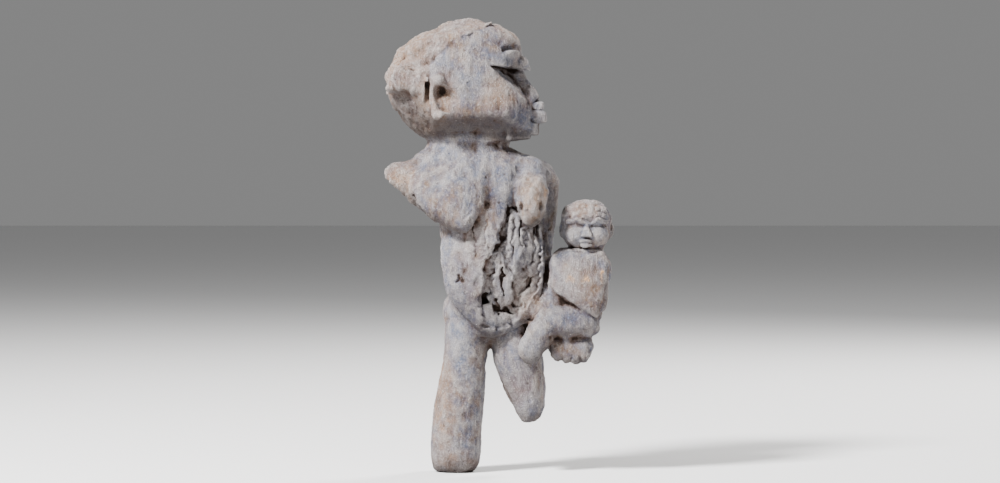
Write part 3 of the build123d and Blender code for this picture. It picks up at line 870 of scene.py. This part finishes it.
def marks(points):
    """The masks that the wood's shader reads, one value for each point, 0 to 1; hollow and under place painted
    shade.
    """
    x, y, z = points.T
    fine, broad = sample(solid_fine, points, STEP), sample(solid_broad, points, STEP * COARSE)
    above, below = (sample(solid_broad, points + (0, 0, rise), STEP * COARSE)
                    for rise in (UNDERSIDE_SHADE_SPAN, -UNDERSIDE_SHADE_SPAN))
    stray = lumps(points, (5, 5, 6), 71)
    torn = ramp(outline_depth(ROT[0][0], x + 3 * stray, z + 3 * stray), -1, 3) * ramp(-y, 4, 12)
    return {
        # hollow: painted shade, higher where more wood surrounds a point, in creases and recesses
        "hollow": np.clip((fine - 0.51) * 3.6 + (broad - 0.53) * 3.6, 0, 1),
        "edge": np.clip((0.47 - fine) * 5.0, 0, 1),
        # under: painted shade on undersides
        "under": ramp(above - below, 0, 0.55),
        "torn": np.maximum(torn, blobs(TORN_ENDS, x, y, z)),
        "hair": ramp(hair_depth(x, z) + 2 * stray, -1, 2) * ramp(z, 332, 338) * (x < 70),
        "warm": blobs(WARM, x + 6 * stray, y, z + 6 * stray),
        "cool": blobs(COOL, x + 6 * stray, y, z - 6 * stray),
        "ochre": blobs(OCHRE, x + 2.5 * stray, y, z + 2.5 * stray),
    }


NEIGHBOURS = 3  # skin points whose normals are blended into a corner's normal
SKIN_TURN = 0.25  # faces turned further than this cosine from the skin are cut faces


def corner_normals(mesh, place, tree):
    """A normal for each corner of a piece: the whole skin's on its outside, flat on its cut faces."""
    normals = np.zeros((len(place), 3))
    gaps = np.zeros(len(place))
    for i, point in enumerate(place):
        near = tree.find_n(point, NEIGHBOURS)
        gaps[i] = near[0][2]
        weights = [1 / (gap + 0.01) ** 2 for _, _, gap in near]
        normals[i] = sum(w * skin_normals[k] for w, (_, k, _) in zip(weights, near)) / sum(weights)
    corners = rows(mesh.loops, "vertex_index", 1, np.int32)[:, 0]
    sizes = rows(mesh.polygons, "loop_total", 1, np.int32)[:, 0]
    flat = rows(mesh.polygons, "normal", 3)
    face = np.repeat(np.arange(len(sizes)), sizes)
    starts = np.cumsum(sizes) - sizes
    along = (normals[corners] * flat[face]).sum(1)
    skin = np.maximum.reduceat(gaps[corners], starts) < STEP
    skin &= np.add.reduceat(along, starts) / sizes > SKIN_TURN
    return np.where(skin[face][:, None], normals[corners], flat[face])


def finish_piece(node, mesh, tree):
    """Gives a node's mesh its shading and masks, and puts it in the scene."""
    place = rows(mesh.vertices, "co", 3) / MM - ORIGIN
    mesh.polygons.foreach_set("use_smooth", [True] * len(mesh.polygons))
    mesh.normals_split_custom_set(corner_normals(mesh, place, tree).tolist())
    for name, values in marks(place).items():
        mesh.attributes.new(name, "FLOAT", "POINT").data.foreach_set("value", values.astype(np.float32))
    piece = new_object(node + "_wood", mesh)
    mesh.materials.clear()
    mesh.materials.append(WOODS[SLOTS[node]])
    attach(piece, "root")
    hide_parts(node)


# ---- weathered wood ----
def linear(*levels):
    """A colour for a shader from 0 to 255 levels."""
    return tuple((level / 255) ** 2.2 for level in levels) + (1.0,)


GREY, SLATE, TAUPE, TAN = linear(117, 116, 122), linear(73, 86, 112), linear(114, 95, 83), linear(152, 121, 94)
# the brown serves for stains and for painted shade in hollows; the near black for painted shade in the deepest
# hollows and for worm holes
PALE, BROWN_STAIN_AND_SHADE, DARK_SHADE_AND_WORM_HOLES, CHALK = linear(160, 155, 152), linear(62, 45, 35), linear(26, 19, 15), linear(205, 202, 198)
# the dark umber is painted shade for undersides
OCHRE_WOOD, UNDERSIDE_SHADE = linear(200, 150, 96), linear(52, 44, 41)


def node(tree, kind, inputs, **settings):
    """A shader node. Each input is a value or another node's output."""
    made = tree.nodes.new("ShaderNode" + kind)
    for name, value in settings.items():
        setattr(made, name, value)
    for name, value in inputs.items():
        if isinstance(value, bpy.types.NodeSocket):
            tree.links.new(value, made.inputs[name])
        else:
            made.inputs[name].default_value = value
    return made


def ranged(tree, value, low, high, side="To"):
    """value from 0 to 1 spread over low to high, or with side "From" the other way round."""
    return node(tree, "MapRange", {"Value": value, side + " Min": low, side + " Max": high}).outputs[0]


def pattern(tree, size, seed, start, end, detail=3.0, distortion=0.0):
    """0 to 1 in lumps of that size in mm along X, Y and Z."""
    place = node(tree, "TexCoord", {}).outputs["Object"]
    place = node(tree, "Mapping", {"Vector": place, "Location": (seed * 7.1, seed * 3.3, seed * 5.7),
                                   "Scale": [1 / (s * MM) for s in size]}).outputs[0]
    value = node(tree, "TexNoise", {"Vector": place, "Scale": 1.0, "Detail": detail, "Roughness": 0.6,
                                    "Distortion": distortion}).outputs[0]
    return ranged(tree, value, start, end, "From")


def mask(tree, name):
    """A mask stored on the mesh."""
    return node(tree, "Attribute", {}, attribute_name=name).outputs["Fac"]


def maths(tree, operation, a, b):
    return node(tree, "Math", {0: a, 1: b}, operation=operation).outputs[0]


def times(tree, a, b):
    return maths(tree, "MULTIPLY", a, b)


def coated(tree, colour, coats, blend="MIX"):
    """colour under coats of others, each (how much of it, colour), the last one on top."""
    for share, coat in coats:
        colour = node(tree, "Mix", {0: share, 6: colour, 7: coat}, data_type="RGBA", blend_type=blend).outputs[2]
    return colour


BUMP_DEPTH = 0.0013  # metres


def wood(name):
    """Grey, dusty, weathered wood: painted shade in its hollows and under its overhangs, tan where it is worn, split
    along its grain.
    """
    material = bpy.data.materials.new(name)
    material.use_nodes = True
    tree = material.node_tree
    tree.nodes.clear()
    patches = pattern(tree, (26, 26, 34), 1, 0.38, 0.62)
    small = pattern(tree, (7, 7, 10), 2, 0.4, 0.66)
    streaks = pattern(tree, (1.5, 1.5, 17), 3, 0.36, 0.66, 4.0, 0.3)
    specks = pattern(tree, (1.1, 1.1, 1.3), 4, 0.4, 0.62, 2.0)
    dust = pattern(tree, (2.6, 2.6, 3.4), 5, 0.5, 0.66, 4.0)
    stain = pattern(tree, (3.4, 3.4, 5), 7, 0.5, 0.68, 4.0)
    white = pattern(tree, (1.7, 1.7, 1.7), 6, 0.76, 0.8, 1.0)
    worm = pattern(tree, (1.5, 1.5, 1.8), 8, 0.75, 0.79, 1.0)
    colour = coated(tree, GREY, [
        (patches, TAUPE),
        (times(tree, small, 0.55), SLATE),
        (times(tree, mask(tree, "cool"), patches), SLATE),
        (times(tree, mask(tree, "warm"), maths(tree, "ADD", 0.35, small)), TAN),
        (times(tree, mask(tree, "torn"), 0.3), PALE),
        (times(tree, mask(tree, "hair"), 0.35), TAN),
        (times(tree, stain, 0.3), BROWN_STAIN_AND_SHADE),
        (times(tree, dust, 0.5), PALE),
        (times(tree, mask(tree, "edge"), 0.6), PALE),
        (times(tree, mask(tree, "ochre"), maths(tree, "ADD", 0.25, dust)), OCHRE_WOOD),
    ])
    grain, grit = ranged(tree, streaks, 0.92, 1.04), ranged(tree, specks, 0.8, 1.14)
    colour = coated(tree, colour, [(1.0, grain), (1.0, grit)], "MULTIPLY")
    colour = coated(tree, colour, [
        # painted shade on undersides, in a dark umber
        (times(tree, mask(tree, "under"), 0.8), UNDERSIDE_SHADE),
        # painted shade in hollows: brown, then near black where the hollow mask is highest
        (mask(tree, "hollow"), BROWN_STAIN_AND_SHADE),
        (ranged(tree, mask(tree, "hollow"), 0.7, 1.1, "From"), DARK_SHADE_AND_WORM_HOLES),
        (worm, DARK_SHADE_AND_WORM_HOLES),
        (times(tree, white, 0.7), CHALK),
    ])
    height = maths(tree, "ADD", times(tree, streaks, 0.18), times(tree, specks, 0.35))
    height = maths(tree, "ADD", height, times(tree, dust, 0.4))
    height = maths(tree, "SUBTRACT", height, times(tree, worm, 0.8))
    bump = node(tree, "Bump", {"Height": height, "Strength": 1.0, "Distance": BUMP_DEPTH}).outputs[0]
    shader = node(tree, "BsdfPrincipled", {"Base Color": colour, "Roughness": ranged(tree, small, 0.74, 0.95),
                                           "Normal": bump, "Specular IOR Level": 0.22})
    out = tree.nodes.new("ShaderNodeOutputMaterial")
    tree.links.new(shader.outputs[0], out.inputs[0])
    return material


SLOTS = {part["node"]: part["material_slot"] for part in frame["record"]["subparts"]}
WOODS = {name: wood(name) for name in sorted(set(SLOTS.values()))}

FINE, BROAD = 6, 72  # rounds of blurring on a 1 mm grid


def share_of_wood(field, step, spread):
    """How much of the space around each grid point is wood, 0 to 1."""
    return blurred(np.clip(0.5 - field / (2 * step), 0, 1), int(round(spread / step ** 2)))


solid_fine = share_of_wood(clay, STEP, FINE)
solid_broad = share_of_wood(clay[::COARSE, ::COARSE, ::COARSE], STEP * COARSE, BROAD)
tree = skin_tree()
whole = new_mesh("whole", points, quads)
from_the_feet_up = sorted(NODES, key=lambda name: (name.startswith("child"), middle(name)[2]))
for name, mesh in divided(whole, from_the_feet_up).items():
    finish_piece(name, mesh, tree)


# ---- floor, light and camera ----
def plain(name, colour, roughness):
    """A material of one colour."""
    material = bpy.data.materials.new(name)
    material.use_nodes = True
    shader = material.node_tree.nodes["Principled BSDF"]
    shader.inputs["Base Color"].default_value = colour
    shader.inputs["Roughness"].default_value = roughness
    return material


def lamp(name, place, size, power, colour):
    """A soft square lamp that faces the middle of the carving."""
    light = bpy.data.lights.new(name, "AREA")
    light.size, light.energy, light.color = size, power, colour
    thing = new_object(name, light)
    thing.location = Vector(place) + AIM
    thing.rotation_euler = (AIM - thing.location).to_track_quat("-Z", "Y").to_euler()


AIM = (cad_low + cad_high) / 2
FLOOR_REACH = 20  # metres from the middle to an edge of the floor
FLOOR_GAP = 0.0005  # metres that the floor lies under the CAD
WORLD_LIGHT = 0.24
corners = [(x * FLOOR_REACH, y * FLOOR_REACH, 0) for x, y in ((-1, -1), (1, -1), (1, 1), (-1, 1))]
floor_mesh = bpy.data.meshes.new("floor")
floor_mesh.from_pydata(corners, [], [(0, 1, 2, 3)])
floor = new_object("floor", floor_mesh)
floor.location.z = cad_low.z - FLOOR_GAP
floor_mesh.materials.append(plain("floor", (0.8, 0.8, 0.8, 1), 0.9))
world = bpy.data.worlds.new("studio")
world.use_nodes = True
sky = world.node_tree.nodes["Background"].inputs
sky["Color"].default_value, sky["Strength"].default_value = (1, 1, 1, 1), WORLD_LIGHT
bpy.context.scene.world = world
lamp("key", (-1.55, -1.3, 1.9), 0.5, 320, (1, 0.99, 0.985))
lamp("fill", (1.5, -1.6, 0.2), 1.6, 5, (1, 0.86, 0.74))
lamp("back", (1.3, 1.5, 1.5), 0.6, 85, (1, 0.98, 0.96))

LENS, SENSOR = 100, 36  # mm
FRAME_WIDTH = 0.482 * 1000 / 483  # metres across a picture that is 0.482 high and shaped 1000 by 483
SIGHT = AIM + Vector((0, 0, 0.005))  # the middle of the picture
CAMERA_RISE = 0.05  # metres that the camera stands above SIGHT
camera = new_object("camera", bpy.data.cameras.new("camera"))
camera.data.lens, camera.data.sensor_width = LENS, SENSOR
camera.location = SIGHT + Vector((0, -FRAME_WIDTH * LENS / SENSOR, CAMERA_RISE))
camera.rotation_euler = (SIGHT - camera.location).to_track_quat("-Z", "Y").to_euler()
camera.data.clip_end = 60
bpy.context.scene.camera = camera
